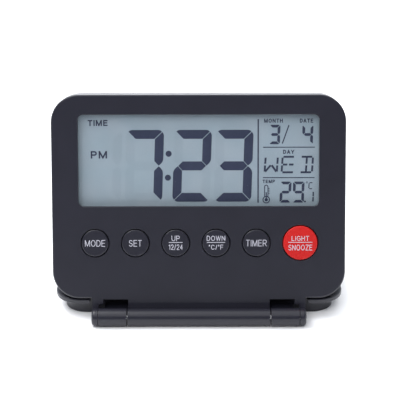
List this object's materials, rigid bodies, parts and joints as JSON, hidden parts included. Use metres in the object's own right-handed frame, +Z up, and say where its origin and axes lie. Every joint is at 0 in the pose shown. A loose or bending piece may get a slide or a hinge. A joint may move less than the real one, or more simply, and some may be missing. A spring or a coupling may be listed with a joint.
{
  "type": "alarm clock",
  "caption": "Folding digital alarm clock with a wide LCD, a row of round buttons, a red snooze button and a hinged cover that folds back as its stand.",
  "frame": {"origin": "middle of the bottom of the bounding box, on the surface the clock stands on", "axes": "+X to the right as the user sees the face, +Y away from the user, +Z up; the face looks towards -Y"},
  "size_m": [0.108, 0.0854, 0.0807],
  "materials": {
    "case_plastic": "fine satin moulded ABS",
    "pin_steel": "ground steel",
    "lens_clear": "clear polished acrylic",
    "soft_black": "matt foam and tape",
    "lcd_panel": "satin anti-glare polariser",
    "lcd_glass": "clear glass",
    "light_guide_clear": "clear acrylic",
    "white_film": "white film",
    "led_white": "moulded white",
    "zebra_rubber": "layered silicone",
    "frame_white": "moulded white",
    "board_green": "solder mask",
    "epoxy_black": "cast epoxy",
    "crystal_can": "drawn can",
    "chip_ceramic": "ceramic chips",
    "buzzer_black": "moulded",
    "piezo_brass": "rolled sheet",
    "switch_black": "moulded",
    "plunger_white": "moulded",
    "button_black": "satin moulded ABS",
    "button_red": "satin moulded ABS",
    "cell_jacket": "printed jacket",
    "contact_nickel": "nickel plated spring steel",
    "screw_steel": "zinc plated",
    "print_white": "pad-printed ink",
    "lcd_ink": "dark liquid crystal segments"
  },
  "bodies": {
    "clock_case": {"backlight_led": "led_white", "battery_cells": "cell_jacket", "board_screws": "screw_steel", "buzzer_case": "buzzer_black", "case_screws": "screw_steel", "controller_blob": "epoxy_black", "display_lens": "lens_clear", "dust_gasket": "soft_black", "front_shell": "case_plastic", "hinge_pins": "pin_steel", "lcd_frame": "frame_white", "lcd_front_glass": "lcd_glass", "lcd_polarisers": "lcd_panel", "lcd_rear_glass": "lcd_glass", "lens_adhesive": "soft_black", "light_guide": "light_guide_clear", "main_board": "board_green", "negative_spring": "contact_nickel", "piezo_disc": "piezo_brass", "positive_contact": "contact_nickel", "quartz_crystal": "crystal_can", "rear_shell": "case_plastic", "reflector_sheet": "white_film", "reset_switch": "switch_black", "smd_parts": "chip_ceramic", "tact_switch_bases": "switch_black", "temperature_sensor": "epoxy_black", "zebra_strip": "zebra_rubber"},
    "cover": {"cover_shell": "case_plastic"},
    "battery_door": {"battery_door": "case_plastic"},
    "mode_button": {"mode_button": "button_black", "mode_plunger": "plunger_white"},
    "set_button": {"set_button": "button_black", "set_plunger": "plunger_white"},
    "up_button": {"up_button": "button_black", "up_plunger": "plunger_white"},
    "down_button": {"down_button": "button_black", "down_plunger": "plunger_white"},
    "timer_button": {"timer_button": "button_black", "timer_plunger": "plunger_white"},
    "snooze_button": {"snooze_button": "button_red", "snooze_plunger": "plunger_white"}
  },
  "joints": [
    {"name": "cover_hinge", "type": "hinge", "parent": "clock_case", "child": "cover", "pos_m": [0, -0.0394, 0.0033], "axis": [-1, 0, 0], "range_deg": [0, 286]},
    {"name": "battery_door_hinge", "type": "hinge", "parent": "clock_case", "child": "battery_door", "pos_m": [0, -0.01808, 0.01055], "axis": [-1, 0, 0], "range_deg": [0, 60]},
    {"name": "mode_press", "type": "slide", "parent": "clock_case", "child": "mode_button", "axis": [0, 0.9613, -0.2756], "range_m": [0, 0.0006], "stiffness_N_per_m": 900, "springref_m": -0.0006},
    {"name": "set_press", "type": "slide", "parent": "clock_case", "child": "set_button", "axis": [0, 0.9613, -0.2756], "range_m": [0, 0.0006], "stiffness_N_per_m": 900, "springref_m": -0.0006},
    {"name": "up_press", "type": "slide", "parent": "clock_case", "child": "up_button", "axis": [0, 0.9613, -0.2756], "range_m": [0, 0.0006], "stiffness_N_per_m": 900, "springref_m": -0.0006},
    {"name": "down_press", "type": "slide", "parent": "clock_case", "child": "down_button", "axis": [0, 0.9613, -0.2756], "range_m": [0, 0.0006], "stiffness_N_per_m": 900, "springref_m": -0.0006},
    {"name": "timer_press", "type": "slide", "parent": "clock_case", "child": "timer_button", "axis": [0, 0.9613, -0.2756], "range_m": [0, 0.0006], "stiffness_N_per_m": 900, "springref_m": -0.0006},
    {"name": "snooze_press", "type": "slide", "parent": "clock_case", "child": "snooze_button", "axis": [0, 0.9613, -0.2756], "range_m": [0, 0.0006], "stiffness_N_per_m": 900, "springref_m": -0.0006}
  ]
}
